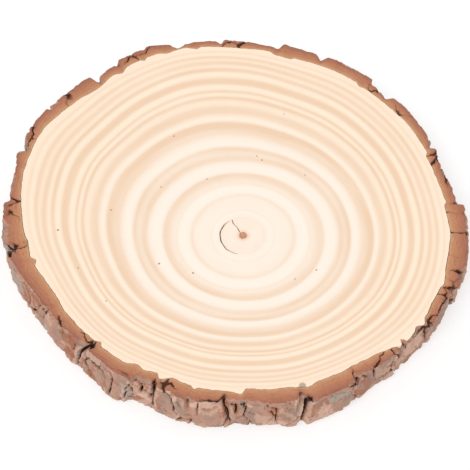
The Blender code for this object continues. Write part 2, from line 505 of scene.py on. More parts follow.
def crack_depth(radius, age, angle):
    """Depth of the shake and the check, from 0 to 1."""
    bow = 0.10 * np.sin(np.radians(angle * 5.0)) + 0.07 * np.sin(np.radians(angle * 13.0 + 40.0))
    from_shake = abs((age - SHAKE_AGE) * MEAN_RADIUS - bow)
    open_here = ease((angle - SHAKE_FROM) / 40.0) * ease((SHAKE_TO - angle) / 14.0)
    shake = ease(1.3 - from_shake / (SHAKE_WIDTH * (0.55 + 0.45 * open_here))) * open_here
    bend = 2.0 * np.sin(radius * 0.9) + 7.0 * np.exp(-radius / 3.0)
    from_check = abs(np.radians(angle - CHECK_ANGLE - bend)) * radius
    reach = ease((radius - 1.5) / 2.0) * ease((CHECK_TO - radius) / 0.8)
    check = ease(1.2 - from_check / 0.26) * reach
    return np.maximum(shake, check)


def shape_of_wood():
    """Places and ages of the wood's vertices, one row for each circle."""
    angle, age = np.meshgrid(np.arange(TURN_STEPS) * 360.0 / TURN_STEPS, circle_age)
    height = np.repeat(circle_height[:, None], TURN_STEPS, axis=1)
    radius = ring_radius(age, angle)
    to_line = (bark_line(angle) - wood_radius(angle)) * ease((age - 0.93) / 0.07)
    radius = radius + to_line
    on_top = height > 0.5 * THICKNESS
    crack = np.where(on_top & (age < 0.2), crack_depth(radius, age, angle), 0.0)
    dimple = np.where(on_top, ease(1.0 - radius / PITH_RADIUS), 0.0)
    height = height - CRACK_DEPTH * crack - PITH_DEPTH * dimple
    ring_age = age + to_line / wood_radius(angle) - sway(age, angle)
    return angle, radius, height, ring_age, crack

wood_angle, wood_r, wood_z, wood_age, wood_crack = shape_of_wood()
print("deepest crack vertex at", round(wood_z[0:60].min(), 2), "mm")

# %% Press a sphere into the disc
def add_attribute(piece, name, values):
    """Store one number on each vertex, for the material to read."""
    layer = piece.data.attributes.new(name, "FLOAT", "POINT")
    layer.data.foreach_set("value", np.asarray(values, np.float32))


def vertex_array(piece):
    """The places of a piece's vertices, one row each."""
    places = np.empty(len(piece.data.vertices) * 3)
    piece.data.vertices.foreach_get("co", places)
    return places.reshape(-1, 3)


def put_vertices(piece, x, y, z):
    """Move the vertices to these places in mm, which become metres here."""
    places = np.stack((x, y, z), axis=1) * MM
    piece.data.vertices.foreach_set("co", places.ravel())
    piece.data.update()


def make_wood():
    circles = len(circle_age)
    bpy.ops.object.select_all(action="DESELECT")
    bpy.ops.mesh.primitive_uv_sphere_add(segments=TURN_STEPS, ring_count=circles - 1, radius=1.0)
    piece = bpy.context.object
    piece.name = "wood_disc"
    start = vertex_array(piece)
    circle = np.round(np.arccos(np.clip(start[:, 2], -1.0, 1.0)) / math.pi * (circles - 1)).astype(int)
    turn = np.round(np.arctan2(start[:, 1], start[:, 0]) / math.tau * TURN_STEPS).astype(int) % TURN_STEPS
    angle = np.radians(wood_angle[circle, turn])
    radius = wood_r[circle, turn]
    put_vertices(piece, radius * np.cos(angle), radius * np.sin(angle), wood_z[circle, turn])
    add_attribute(piece, "age", wood_age[circle, turn])
    add_attribute(piece, "crack", wood_crack[circle, turn])
    bpy.ops.object.shade_smooth_by_angle(angle=math.radians(35.0))
    return piece

wood = make_wood()
print("wood:", len(wood.data.vertices), "vertices")

# %% [markdown]
# The wood's finish. The rings aren't painted: each point reads its age, and a ramp turns the age into how
# much summer wood there is. One ramp holds 32 stops at most, so three ramps share the rings. Fine lines
# that follow the rings, rays that run out from the heart, and broad patches are noise, read at the age and
# at the direction from the pith, so that they stretch the right way.

# %% Rings: age, and how dark the summer wood is there
RINGS_OF_THE_HEART = (
    (0.000, 0.30), (0.060, 0.28), (0.085, 0.30), (0.103, 0.36), (0.112, 0.20), (0.136, 0.10),
    (0.146, 0.30), (0.156, 0.18), (0.200, 0.22), (0.222, 0.28), (0.236, 0.52), (0.246, 0.30),
    (0.256, 0.10), (0.285, 0.06), (0.299, 0.20), (0.307, 0.42), (0.316, 0.32), (0.330, 0.50),
    (0.350, 0.74), (0.364, 0.76), (0.374, 0.26), (0.384, 0.10), (0.415, 0.14), (0.430, 0.32),
    (0.442, 0.66), (0.456, 0.76), (0.468, 0.56), (0.480, 0.60), (0.494, 0.82), (0.503, 0.58),
    (0.511, 0.20), (0.520, 0.12),
)
RINGS_OF_THE_MIDDLE = (
    (0.520, 0.12), (0.540, 0.20), (0.554, 0.40), (0.566, 0.66), (0.584, 0.76), (0.602, 0.98),
    (0.616, 0.92), (0.624, 0.50), (0.632, 0.18), (0.642, 0.22), (0.652, 0.50), (0.664, 0.82),
    (0.680, 0.84), (0.692, 0.62), (0.702, 0.34), (0.716, 0.36), (0.725, 0.80), (0.733, 1.00),
    (0.740, 0.54), (0.747, 0.22), (0.755, 0.60), (0.762, 0.94), (0.769, 0.50), (0.776, 0.20),
    (0.788, 0.18),
)
RINGS_UNDER_THE_BARK = (
    (0.788, 0.18), (0.797, 0.60), (0.806, 0.96), (0.820, 1.00), (0.831, 0.74), (0.840, 0.34),
    (0.850, 0.16), (0.859, 0.30), (0.868, 0.80), (0.877, 0.96), (0.886, 0.58), (0.894, 0.30),
    (0.902, 0.60), (0.913, 0.86), (0.922, 0.58), (0.929, 0.34), (0.938, 0.70), (0.946, 0.84),
    (0.953, 0.40), (0.961, 0.22), (0.968, 0.46), (0.974, 0.60), (0.981, 0.34), (1.000, 0.30),
)
print(len(RINGS_OF_THE_HEART) + len(RINGS_OF_THE_MIDDLE) + len(RINGS_UNDER_THE_BARK), "stops for the rings")

# %% Small marks on the sawn face
# Worm holes and resin specks: x, y and radius. The holes aren't cut, so their dark is painted shade; the resin
# specks are the wood's own colour.
SPECKS = (
    (-95.5, 3.4, 0.55), (-68.9, 16.3, 0.40), (-43.3, 31.5, 0.35), (-37.5, 66.8, 0.40),
    (-19.0, 36.9, 0.38), (7.8, 52.7, 0.38), (10.5, 49.9, 0.42), (23.2, 82.8, 0.34),
    (33.4, 39.6, 0.34), (-42.5, -17.5, 0.50), (-25.2, -23.2, 0.48), (-83.3, -20.2, 0.34),
    (-67.9, -39.8, 0.34), (37.0, -21.4, 0.42), (26.0, -26.8, 0.34),
)
GREY_KNOT = (27.8, -87.0, 1.7)


def spot(place, x, y, radius, soft=0.5):
    """1 inside a round spot on the sawn face, and 0 outside it."""
    distance = place.vector("DISTANCE", (x * MM, y * MM, THICKNESS * MM), "Value")
    return distance.smooth(radius * (1.0 + soft) * MM, radius * (1.0 - soft) * MM)


def all_spots(place):
    total = spot(place, *SPECKS[0])
    for speck in SPECKS[1:]:
        total = total.math("MAXIMUM", spot(place, *speck))
    return total

print(len(SPECKS), "specks")

# %% Finish of the wood
PALE_HEART = srgb(247, 236, 223)
PALE_SAPWOOD = srgb(250, 232, 210)
SUMMER_WOOD = srgb(233, 202, 173)
PITH_BROWN = srgb(172, 112, 80)
PITH_HALO = srgb(240, 196, 168)
CRACK_SHADE_BROWN = srgb(120, 84, 58)
SPECK_AND_HOLE_SHADE_BROWN = srgb(96, 70, 52)
SMUDGE_BROWN = srgb(214, 158, 118)


def finish_wood():
    finish, shader, start = new_finish("pale_sawn_wood")
    place = start.node("ShaderNodeTexCoord", output="Object")
    age = start.node("ShaderNodeAttribute", {"attribute_name": "age"}, output="Fac")
    crack = start.node("ShaderNodeAttribute", {"attribute_name": "crack"}, output="Fac")
    direction = place.vector("MULTIPLY", (1.0, 1.0, 0.0)).vector("NORMALIZE")

    def ringwise(turns, ages):
        """A place on the rings: this many bumps to the radian, and this many from pith to bark."""
        outwards = start.node("ShaderNodeCombineXYZ", None, {"Z": age * ages})
        return direction.vector("MULTIPLY", (turns, turns, 0.0)).vector("ADD", outwards)

    ragged_age = age + 0.0011 * ringwise(14.0, 60.0).noise(1.0) + 0.0008 * ringwise(60.0, 90.0).noise(1.0)
    dark = None
    for stops in (RINGS_OF_THE_HEART, RINGS_OF_THE_MIDDLE, RINGS_UNDER_THE_BARK):
        low, high = stops[0][0], stops[-1][0]
        spread = [((age_here - low) / (high - low), level) for age_here, level in stops]
        ramp = ((ragged_age - low) / (high - low)).node(
            "ShaderNodeValToRGB", {"stops": spread}, {"Fac": (ragged_age - low) / (high - low)}, "Color")
        here = ragged_age.math("GREATER_THAN", low) * ragged_age.math("LESS_THAN", high + 1e-5)
        if high >= 1.0:
            here = ragged_age.math("GREATER_THAN", low)
        if low <= 0.0:
            here = ragged_age.math("LESS_THAN", high)
        dark = ramp * here if dark is None else dark + ramp * here

    patches = ringwise(1.5, 26.0).noise(1.0, 2.0)
    fine_lines = ringwise(4.0, 330.0).noise(1.0, 3.0, 0.65)
    rays = ringwise(330.0, 9.0).noise(1.0, 2.0, 0.6)
    broad_rays = ringwise(60.0, 5.0).noise(1.0, 2.0, 0.5)
    grain = place.noise(1500.0, 2.0, 0.6)
    dark = dark * (1.0 + 0.42 * patches) + 0.10 * fine_lines + 0.075 * rays + 0.05 * broad_rays + 0.05 * grain
    pale = mixed(PALE_HEART, PALE_SAPWOOD, age.smooth(0.5, 0.8))
    colour = mixed(pale, SUMMER_WOOD, dark.clamped())

    star = age + 0.006 * ringwise(2.4, 0.0).noise(1.0, 1.0) + 0.003 * place.noise(900.0)
    colour = mixed(colour, PITH_HALO, star.smooth(0.040, 0.018) * 0.75)
    colour = mixed(colour, PITH_BROWN, star.smooth(0.0215, 0.0165) * (0.75 + 0.5 * place.noise(1100.0)))
    # The cracks are painted dark brown as shade in the grooves.
    colour = mixed(colour, CRACK_SHADE_BROWN, crack.smooth(0.25, 0.9) * 0.8)

    on_top = start.node("ShaderNodeSeparateXYZ", None, {"Vector": place}, "Z").smooth(
        0.4 * THICKNESS * MM, 0.6 * THICKNESS * MM)
    # Dark specks: resin in its own colour, and painted shade for the worm holes.
    colour = mixed(colour, SPECK_AND_HOLE_SHADE_BROWN, all_spots(place) * on_top * 0.8)
    colour = mixed(colour, srgb(150, 140, 128), spot(place, *GREY_KNOT, 0.25) * on_top * 0.75)

    plug_in(shader, Base_Color=colour, Roughness=0.66 + 0.08 * fine_lines)
    bump = fine_lines * 0.5 + rays * 0.35 + grain * 0.3
    normal = start.node("ShaderNodeBump", None, {"Height": bump, "Strength": 0.22, "Distance": 0.0002}, "Normal")
    plug_in(shader, Normal=normal)
    shader.inputs["Specular IOR Level"].default_value = 0.25
    return finish

wood.data.materials.append(finish_wood())
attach(wood, "root")
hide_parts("wood")
print("the wood is finished with", len(wood.data.materials[0].node_tree.nodes), "nodes")

# %% [markdown]
# The bark is a ring with a four-sided section: the outer side, the sawn face on top, a wall against the
# wood, and the sawn face below. It is one body on the real tree, so it is one mesh. A torus is added with
# one point of its section for each line of vertices that the bark needs, and its edges round the ring are
# subdivided, because a torus primitive stops at 256 sections and scales of bark need four times as many.

# %% Lines of vertices along the bark's section
RING_SECTIONS = 240
RING_CUTS = 5
BARK_SECTIONS = RING_SECTIONS * (RING_CUTS + 1)
SIDE_LINES = 40
FACE_LINES = 14
WALL_LINES = 3
UNDER_LINES = 7

side_share = 1.0 - (1.0 - np.linspace(0.0, 1.0, SIDE_LINES)) ** 1.25
face_share = np.linspace(0.0, 1.0, FACE_LINES + 1)[1:] ** 1.1
wall_share = np.linspace(0.0, 1.0, WALL_LINES + 1)[1:]
under_share = np.linspace(1.0, 0.0, UNDER_LINES + 1)[1:-1]
section_points = len(side_share) + len(face_share) + len(wall_share) + len(under_share)
print(BARK_SECTIONS, "sections of", section_points, "points:",
      2 * BARK_SECTIONS * section_points, "triangles")

# %% [markdown]
# All of the bark's relief is drawn on one chart, as if the bark were unrolled on a table. One axis runs
# along the ring, and the other climbs the side and then crosses the sawn face inwards, so that a fissure
# runs over the edge unbroken. The chart's features: terraces, where thin scales have broken away one after
# the other, fissures between plates, fine fibres, and the fissures that show in the photograph, each a short
# line of points given by its angle and height in mm. A height above the thickness lies on the sawn face.

# %% Fissures that show
# Each fissure: width, depth, and its points
FISSURES = (
    (1.0, 2.6, ((194.6, 21.0), (194.8, 15.0), (195.4, 11.0), (195.8, 7.0), (196.1, 2.0))),
    (1.1, 1.8, ((196.6, 15.2), (198.0, 14.0), (199.6, 13.4), (201.0, 15.0), (201.6, 18.2))),
    (1.0, 1.6, ((203.0, 19.0), (202.8, 15.0), (203.2, 11.5))),
    (1.6, 2.2, ((204.6, 21.5), (205.2, 18.0))),
    (0.9, 1.8, ((206.6, 21.0), (207.2, 19.0))),
    (0.9, 1.6, ((207.9, 25.4), (209.3, 24.2), (210.2, 22.8), (211.4, 22.0))),
    (0.8, 1.2, ((212.0, 18.5), (212.4, 16.0))),
    (0.8, 1.2, ((214.2, 18.6), (216.6, 17.6), (217.0, 14.2), (216.2, 12.0))),
    (0.8, 1.2, ((214.6, 9.0), (216.8, 7.2))),
    (1.8, 3.4, ((222.2, 25.4), (221.4, 22.4), (220.2, 19.0), (219.2, 15.4), (218.7, 8.0), (218.4, 3.0))),
    (1.0, 2.2, ((229.2, 18.8), (231.0, 19.2), (231.7, 16.0), (231.5, 11.0), (231.6, 7.0), (231.2, 4.0))),
    (0.8, 1.3, ((233.4, 15.5), (233.8, 12.5))),
    (0.7, 1.6, ((237.0, 19.0), (237.2, 13.0), (237.5, 10.0))),
    (1.8, 3.0, ((238.4, 19.6), (239.6, 19.0), (240.2, 15.6), (239.8, 12.6))),
    (1.9, 3.0, ((241.2, 14.4), (242.6, 13.6), (243.0, 11.6))),
    (0.8, 1.6, ((237.8, 8.4), (239.2, 7.8), (240.2, 6.6))),
    (1.5, 2.6, ((243.1, 23.6), (243.4, 21.0), (243.6, 16.0), (244.2, 10.0), (243.6, 5.0))),
    (0.7, 1.0, ((251.6, 19.0), (253.0, 17.0))),
    (0.9, 1.6, ((264.0, 21.6), (264.8, 16.0), (265.6, 11.0), (266.2, 5.0))),
    (1.4, 2.0, ((266.6, 22.6), (267.6, 20.6), (267.9, 16.5), (267.6, 13.5))),
    (1.0, 1.6, ((269.4, 23.2), (270.3, 22.2), (270.0, 18.0))),
    (0.8, 1.2, ((271.0, 14.4), (273.0, 14.0))),
    (0.9, 1.5, ((272.6, 21.4), (274.6, 21.2))),
    (0.7, 0.9, ((277.6, 16.0), (278.2, 13.0), (280.0, 13.8))),
    (0.8, 1.0, ((282.6, 22.2), (283.0, 20.0))),
    (2.0, 3.8, ((288.9, 25.0), (288.3, 22.6), (287.6, 18.0), (287.0, 12.0), (286.5, 7.0), (286.2, 2.0))),
    (0.9, 1.2, ((300.4, 22.6), (301.6, 22.8), (302.2, 21.6))),
    (2.2, 3.2, ((302.9, 21.2), (303.6, 19.2), (303.2, 16.6))),
    (1.0, 1.8, ((304.0, 21.6), (305.2, 20.6), (306.4, 18.2))),
    (0.9, 1.5, ((308.9, 20.6), (309.3, 18.0), (309.7, 15.6))),
    (1.1, 1.8, ((317.2, 20.0), (318.2, 16.0), (319.2, 12.4))),
    (0.9, 1.4, ((320.6, 20.4), (321.2, 15.8))),
    (1.4, 2.2, ((328.4, 22.4), (328.6, 18.0), (329.2, 10.0), (329.9, 2.0))),
    (0.9, 1.3, ((330.6, 19.6), (331.6, 17.2))),
    (4.4, 5.2, ((338.0, 16.4), (341.0, 16.8), (342.6, 15.0))),
    (1.4, 3.0, ((343.0, 24.0), (343.4, 20.0), (344.0, 12.0), (344.8, 3.0))),
    (1.5, 3.0, ((349.0, 26.0), (348.5, 22.0), (349.0, 14.0), (349.6, 4.0))),
    (2.2, 3.0, ((182.6, 26.6), (183.6, 24.6), (184.6, 23.6), (185.8, 23.2))),
)


def from_line(along, up, points):
    """Distance in mm on the chart from a line of (angle, height) points."""
    nearest = np.full(np.shape(along), 1e6)
    places = [(angle / 360.0 * GIRTH, height) for angle, height in points]
    for (x0, y0), (x1, y1) in zip(places, places[1:]):
        length = math.hypot(x1 - x0, y1 - y0)
        x = along - x0
        y = up - y0
        share = np.clip((x * (x1 - x0) + y * (y1 - y0)) / length ** 2, 0.0, 1.0)
        nearest = np.minimum(nearest, np.hypot(x - share * (x1 - x0), y - share * (y1 - y0)))
    return nearest

print(len(FISSURES), "fissures are placed by hand")

# %% Broken edge of the sawn face
# Where the saw has torn the outer edge away: angle, half span in degrees, depth and reach inwards in mm
TORN_EDGES = (
    (3.0, 2.0, 0.8, 1.6), (31.0, 2.4, 1.6, 2.0), (49.0, 3.0, 1.2, 1.6), (62.0, 3.0, 0.6, 1.2),
    (93.0, 3.0, 0.9, 1.4), (104.5, 2.6, 1.2, 1.6), (126.0, 2.0, 1.3, 2.0), (139.6, 1.6, 1.4, 2.2),
    (153.6, 2.0, 2.2, 3.0), (165.0, 3.0, 0.8, 1.6), (179.0, 3.4, 2.2, 3.4), (184.4, 1.8, 2.0, 3.2),
    (207.0, 2.6, 1.0, 1.4), (219.6, 1.8, 1.8, 2.4), (240.6, 3.4, 1.6, 1.9), (247.4, 3.2, 1.1, 1.5),
    (255.0, 1.6, 1.0, 1.4), (270.4, 5.2, 1.7, 2.3), (283.6, 1.8, 1.1, 1.5), (290.0, 2.4, 0.9, 1.2),
    (301.8, 2.2, 1.4, 1.9), (305.6, 2.0, 1.4, 1.5), (318.6, 2.4, 1.9, 2.0), (323.6, 4.6, 1.9, 2.2),
    (337.0, 3.0, 0.7, 1.2), (349.0, 1.6, 1.4, 2.2),
)


def torn(angle, along):
    """How deep and how far inwards the outer edge is broken away at each angle."""
    depth = 0.55 * ease((noise(along, 0.0 * along, 7.0, 1.0, 31) - 0.15) / 0.5)
    reach = 0.9 + 0.5 * noise(along, 0.0 * along, 3.0, 1.0, 32)
    for middle, half_span, deep, inwards in TORN_EDGES:
        off = abs((angle - middle + 180.0) % 360.0 - 180.0)
        here = ease((1.25 - off / half_span) / 0.5)
        depth = np.maximum(depth, deep * here)
        reach = np.maximum(reach, inwards * here)
    ragged = 1.0 + 0.45 * noise(along, 0.0 * along, 1.6, 1.0, 33)
    return depth * ragged, reach * ragged

print(len(TORN_EDGES), "torn stretches of edge")

# %% Relief on the chart
FISSURE_DEPTH = 1.9
TERRACE = 0.62
TERRACE_LEDGE = 0.26


def terraced(value, step, ledge):
    """Flat terraces that step up sharply, like the broken edges of thin scales."""
    level = np.floor(value / step)
    part = value / step - level
    return step * (level + ease((part - 1.0 + ledge) / ledge)), level


def relief_of_bark(along, up):
    """Height of the bark's surface in mm, how deep in a fissure (0 to 1), and a number for each scale."""
    warp_x = 1.9 * noise(along, up, 8.0, 7.0, 41) + 0.7 * noise(along, up, 2.6, 2.4, 42)
    warp_y = 1.7 * noise(along, up, 7.0, 8.0, 43) + 0.7 * noise(along, up, 2.4, 2.7, 44)
    x = along + warp_x
    y = up + warp_y
    body = 1.15 * noise(x, y, 15.0, 13.0, 45) + 0.75 * noise(x, y, 6.0, 7.5, 46)
    body = body + 0.30 * noise(x, y, 2.6, 3.4, 47)
    scales, level = terraced(body, TERRACE, TERRACE_LEDGE)
    border, plate = cells(x, y, 15.0, 19.0, 48)
    gate = ease((noise(along, up, 21.0, 17.0, 51) + 0.30) / 0.55)
    width = 0.55 + 0.45 * noise(along, up, 5.0, 5.0, 52)
    fissure = gate * ease(1.25 - border / np.maximum(width, 0.2))
    depth = FISSURE_DEPTH * fissure
    for number, (wide, deep, points) in enumerate(FISSURES):
        wobble = 0.55 * noise(along, up, 2.2, 2.2, 60 + number)
        distance = from_line(along + wobble, up + 0.6 * wobble, points)
        here = ease(1.35 - distance / (0.5 * wide))
        depth = np.maximum(depth, deep * here)
        fissure = np.maximum(fissure, here)
    fine = 0.17 * noise(along, up, 1.5, 1.7, 53) + 0.10 * noise(along, up, 0.9, 1.0, 54)
    fibre = 0.13 * noise(x, y, 1.2, 7.0, 55)
    tag = random_at(level + 50.0, np.round(plate * 97.0), 56)
    return scales + 0.9 * (plate - 0.5), fine + fibre, depth, fissure, tag

print("terraces of", TERRACE, "mm, fissures up to", max(deep for _, deep, _ in FISSURES), "mm deep")

# %% Places of the bark's vertices
SIDE_FLARE = (0.5, 0.8, 1.0, 1.0, 1.0, 1.2, 1.0, 3.8, 3.8, 3.0, 1.4, -0.6)
FURROW_LEAN = 2.4
FURROW_LEAN_WAVES = 5
FURROW_LEAN_START = 20.0
FURROW_FILL = 0.85
FURROW_FILL_SPAN = 5.0
FOOT_ROUNDING = 1.5
FOOT_HEIGHT = 3.0
THINNEST_BARK = 1.0


def outer_radius(angle, height):
    """Plain outer radius of the bark. Furrows are deepest at the sawn face and fill up lower down."""
    below_top = 1.0 - height / THICKNESS
    lean = FURROW_LEAN * below_top * np.sin(np.radians(FURROW_LEAN_WAVES * angle + FURROW_LEAN_START))
    thickness = stepped(bark_knots(), angle + lean)
    spans = np.linspace(-FURROW_FILL_SPAN, FURROW_FILL_SPAN, 9)
    filled = sum(stepped(bark_knots(), angle + lean + span) for span in spans) / len(spans)
    fill = FURROW_FILL * ease(below_top / 0.45) * np.clip(filled - thickness, 0.0, None)
    flare = closed_curve(SIDE_FLARE, angle) * np.sqrt(np.clip(below_top, 0.0, 1.0))
    foot = FOOT_ROUNDING * ease(1.0 - height / FOOT_HEIGHT)
    return wood_radius(angle) + thickness + fill + flare - foot


def shape_of_bark():
    """Places and finish numbers of the bark's vertices, one row for each line of the section."""
    angle = np.arange(BARK_SECTIONS) * 360.0 / BARK_SECTIONS
    along = angle / 360.0 * GIRTH
    line = bark_line(angle) + SEAM
    tear, tear_reach = torn(angle, along)
    edge_jitter = 0.34 * noise(along, 0.0 * along, 2.4, 1.0, 34) + 0.20 * noise(along, 0.0 * along, 1.1, 1.0, 35)
    rows = []

    def side_row(share):
        height = share * (THICKNESS - tear)
        broad, fine, depth, fissure, tag = relief_of_bark(along, height)
        below = THICKNESS - tear - height
        fade = ease(below / 1.8 + 0.12)
        out = broad * fade + fine + edge_jitter * (1.0 - fade) - depth * (0.35 + 0.65 * fade)
        radius = np.maximum(outer_radius(angle, height) + out, line + THINNEST_BARK)
        return radius, height, fissure, tag, fine

    edge = side_row(1.0)[0]
    width = edge - line
    for share in side_share:
        radius, height, fissure, tag, fine = side_row(share)
        rows.append((radius, height, 0.0 * along, fissure, tag, radius - line, height, 0.0 * along + 1.0))
    for share in face_share:
        inset = share * width
        radius = edge - inset
        up = THICKNESS + inset
        fine = relief_of_bark(along, up)[1]
        fissure, depth = relief_of_bark(along, up)[3], relief_of_bark(along, up)[2]
        laminae = 0.10 * noise(along, radius - line, 7.0, 0.8, 71) + 0.06 * noise(along, radius - line, 2.0, 0.5, 72)
        broken = ease(1.15 - inset / np.maximum(tear_reach, 0.1))
        drop = tear * broken * (1.0 + 0.3 * noise(along, up, 1.2, 1.2, 73))
        sunk = (0.75 * depth * ease((inset - 0.05) / 0.8 + 0.4)) * (1.0 - 0.55 * ease(share * 2.0 - 1.0))
        height = THICKNESS - np.maximum(drop, 0.0) - sunk - np.maximum(0.07 + laminae, 0.0)
        if share == 1.0:
            height = np.minimum(height, THICKNESS - 0.05)
        sawn = ease(1.3 - 3.0 * drop)
        rows.append((radius, height, sawn, fissure, 0.0 * along + 0.5, radius - line, up,
                     0.0 * along + 1.0 - share))
    top_wall = rows[-1][1]
    for share in wall_share:
        rows.append((line, top_wall * (1.0 - share), 0.0 * along + 0.6, 0.0 * along, 0.0 * along + 0.5,
                     0.0 * along, 0.0 * along + THICKNESS, 0.0 * along))
    foot = rows[0][0]
    for share in under_share[::-1]:
        inset = share * (foot - line)
        rows.append((foot - inset, 0.0 * along, 0.0 * along + 1.0, 0.0 * along, 0.0 * along + 0.5,
                     foot - inset - line, -inset, 0.0 * along + 1.0 - share))
    return angle, [np.array(part) for part in zip(*rows)]

bark_angle, bark_parts = shape_of_bark()
bark_r, bark_z, bark_sawn, bark_fissure, bark_tag, bark_in, bark_up, bark_across = bark_parts
print("the bark reaches", round(bark_r.max(), 1), "mm from the pith")

# %% Painted light and shade of the relief, and patches
# Patches of another colour: kind, angle, height, half length and half height in mm
BARK_PATCHES = (
    ("grey", 183.8, 18.0, 4.0, 6.0), ("grey", 218.7, 11.0, 1.3, 3.0), ("grey", 236.3, 11.0, 2.8, 7.5),
    ("grey", 289.6, 20.0, 2.6, 2.0), ("grey", 297.0, 17.5, 9.0, 3.0), ("grey", 342.0, 6.0, 4.0, 5.0),
    ("grey", 205.5, 8.0, 5.0, 6.0), ("grey", 190.0, 10.0, 6.0, 8.0), ("grey", 60.0, 10.0, 9.0, 8.0),
    ("grey", 118.0, 12.0, 8.0, 8.0), ("grey", 20.0, 12.0, 9.0, 7.0), ("grey", 154.5, 22.5, 2.2, 1.6),
    ("pale", 259.0, 19.6, 8.5, 2.4), ("pale", 247.4, 22.4, 5.5, 1.2), ("pale", 250.4, 20.8, 3.0, 1.6),
    ("pale", 279.0, 6.0, 10.0, 4.0), ("pale", 270.6, 20.6, 4.6, 2.0), ("pale", 284.6, 21.0, 2.4, 2.0),
    ("pale", 240.8, 9.6, 5.4, 1.8), ("pale", 324.0, 14.0, 9.0, 9.0), ("pale", 157.0, 17.0, 4.0, 6.0),
    ("pale", 231.5, 21.4, 2.0, 1.0), ("pale", 90.0, 12.0, 12.0, 6.0), ("pale", 292.6, 9.0, 5.0, 7.0),
    ("rust", 200.0, 18.6, 7.0, 3.0), ("rust", 214.6, 17.6, 8.0, 4.4), ("rust", 240.4, 16.6, 4.4, 3.6),
    ("rust", 264.7, 16.0, 3.0, 6.0), ("rust", 267.8, 17.4, 2.6, 4.0), ("rust", 278.6, 16.0, 3.4, 3.4),
    ("rust", 304.6, 18.4, 3.4, 3.4), ("rust", 318.4, 15.6, 2.4, 5.0), ("rust", 215.8, 7.6, 5.4, 5.0),
    ("rust", 224.0, 6.0, 4.0, 3.0), ("rust", 345.6, 12.0, 3.0, 8.0), ("rust", 355.0, 10.0, 8.0, 6.0),
    ("rust", 30.0, 14.0, 8.0, 7.0), ("rust", 80.0, 12.0, 9.0, 6.0), ("rust", 136.0, 14.0, 9.0, 6.0),
    ("rust", 158.4, 13.0, 3.0, 6.0), ("rust", 176.0, 14.0, 4.0, 5.0),
)


def patch_strength(kind, along, up):
    """How strongly the patches of one kind show on the chart, from 0 to 1."""
    ragged = 0.35 * noise(along, up, 3.0, 3.0, 81) + 0.25 * noise(along, up, 1.3, 1.3, 82)
    strength = 0.0 * along
    for patch_kind, middle, height, half_length, half_height in BARK_PATCHES:
        if patch_kind == kind:
            off = (along - middle / 360.0 * GIRTH + GIRTH / 2.0) % GIRTH - GIRTH / 2.0
            distance = np.hypot(off / half_length, (up - height) / half_height)
            strength = np.maximum(strength, ease((1.15 - distance + ragged) / 0.45))
    return strength


def blurred(values, sections, lines):
    """Mean over that many sections and lines either way. It wraps round the ring."""
    total = sum(np.roll(values, step, axis=1) for step in range(-sections, sections + 1))
    values = total / (2 * sections + 1)
    padded = np.pad(values, ((lines, lines), (0, 0)), mode="edge")
    total = sum(padded[step:step + len(values)] for step in range(2 * lines + 1))
    return total / (2 * lines + 1)

# How far the side stands out from its blurred self. The finish paints light from it on the proud parts and shade in
# the hollows.
side_r = bark_r[:SIDE_LINES]
bark_relief_light_and_shade = np.zeros(bark_r.shape)
bark_relief_light_and_shade[:SIDE_LINES] = side_r - blurred(side_r, 5, 4)
chart_along = np.broadcast_to(bark_angle / 360.0 * GIRTH, bark_r.shape)
bark_patches = {kind: patch_strength(kind, chart_along, bark_up) for kind in ("grey", "pale", "rust")}
print("the side swells by up to", round(bark_relief_light_and_shade.max(), 2), "mm and sinks by", round(-bark_relief_light_and_shade.min(), 2), "mm")

# %% Draw a torus out into the ring of bark
def subdivide_round(piece, angle, cuts):
    """Cut the edges that run round the ring. Edges within one section stay whole."""
    mesh = piece.data
    ends = np.empty(len(mesh.edges) * 2, int)
    mesh.edges.foreach_get("vertices", ends)
    turned = abs(angle[ends[0::2]] - angle[ends[1::2]])
    round_the_ring = np.minimum(turned, 360.0 - turned) > 0.5
    bpy.context.tool_settings.mesh_select_mode = (False, True, False)
    mesh.vertices.foreach_set("select", np.zeros(len(mesh.vertices), bool))
    mesh.polygons.foreach_set("select", np.zeros(len(mesh.polygons), bool))
    mesh.edges.foreach_set("select", round_the_ring)
    bpy.ops.object.mode_set(mode="EDIT")
    bpy.ops.mesh.subdivide(number_cuts=cuts)
    bpy.ops.object.mode_set(mode="OBJECT")


def make_bark():
    tube = 0.1
    bpy.ops.object.select_all(action="DESELECT")
    bpy.ops.mesh.primitive_torus_add(
        major_segments=RING_SECTIONS, minor_segments=section_points, major_radius=1.0, minor_radius=tube,
        generate_uvs=False)
    piece = bpy.context.object
    piece.name = "bark_ring"
    start = vertex_array(piece)
    subdivide_round(piece, np.degrees(np.arctan2(start[:, 1], start[:, 0])), RING_CUTS)
    start = vertex_array(piece)
    turn = np.arctan2(start[:, 1], start[:, 0]) / math.tau * BARK_SECTIONS
    section = np.round(turn).astype(int) % BARK_SECTIONS
    out = np.hypot(start[:, 0], start[:, 1]) / np.cos(math.pi / RING_SECTIONS * 0.5) - 1.0
    corner = np.arctan2(start[:, 2], out) / math.tau * section_points
    corner = np.round(corner).astype(int) % section_points
    angle = np.radians(bark_angle[section])
    radius = bark_r[corner, section]
    put_vertices(piece, radius * np.cos(angle), radius * np.sin(angle), bark_z[corner, section])
    for name, values in (("sawn", bark_sawn), ("fissure", bark_fissure), ("scale", bark_tag),
                         ("outwards", bark_in), ("climb", bark_up), ("across", bark_across),
                         ("relief_light_and_shade", bark_relief_light_and_shade), *bark_patches.items()):
        add_attribute(piece, name, values[corner, section])
    bpy.ops.object.shade_smooth_by_angle(angle=math.radians(50.0))
    return piece

bark = make_bark()
print("bark:", len(bark.data.vertices), "vertices")
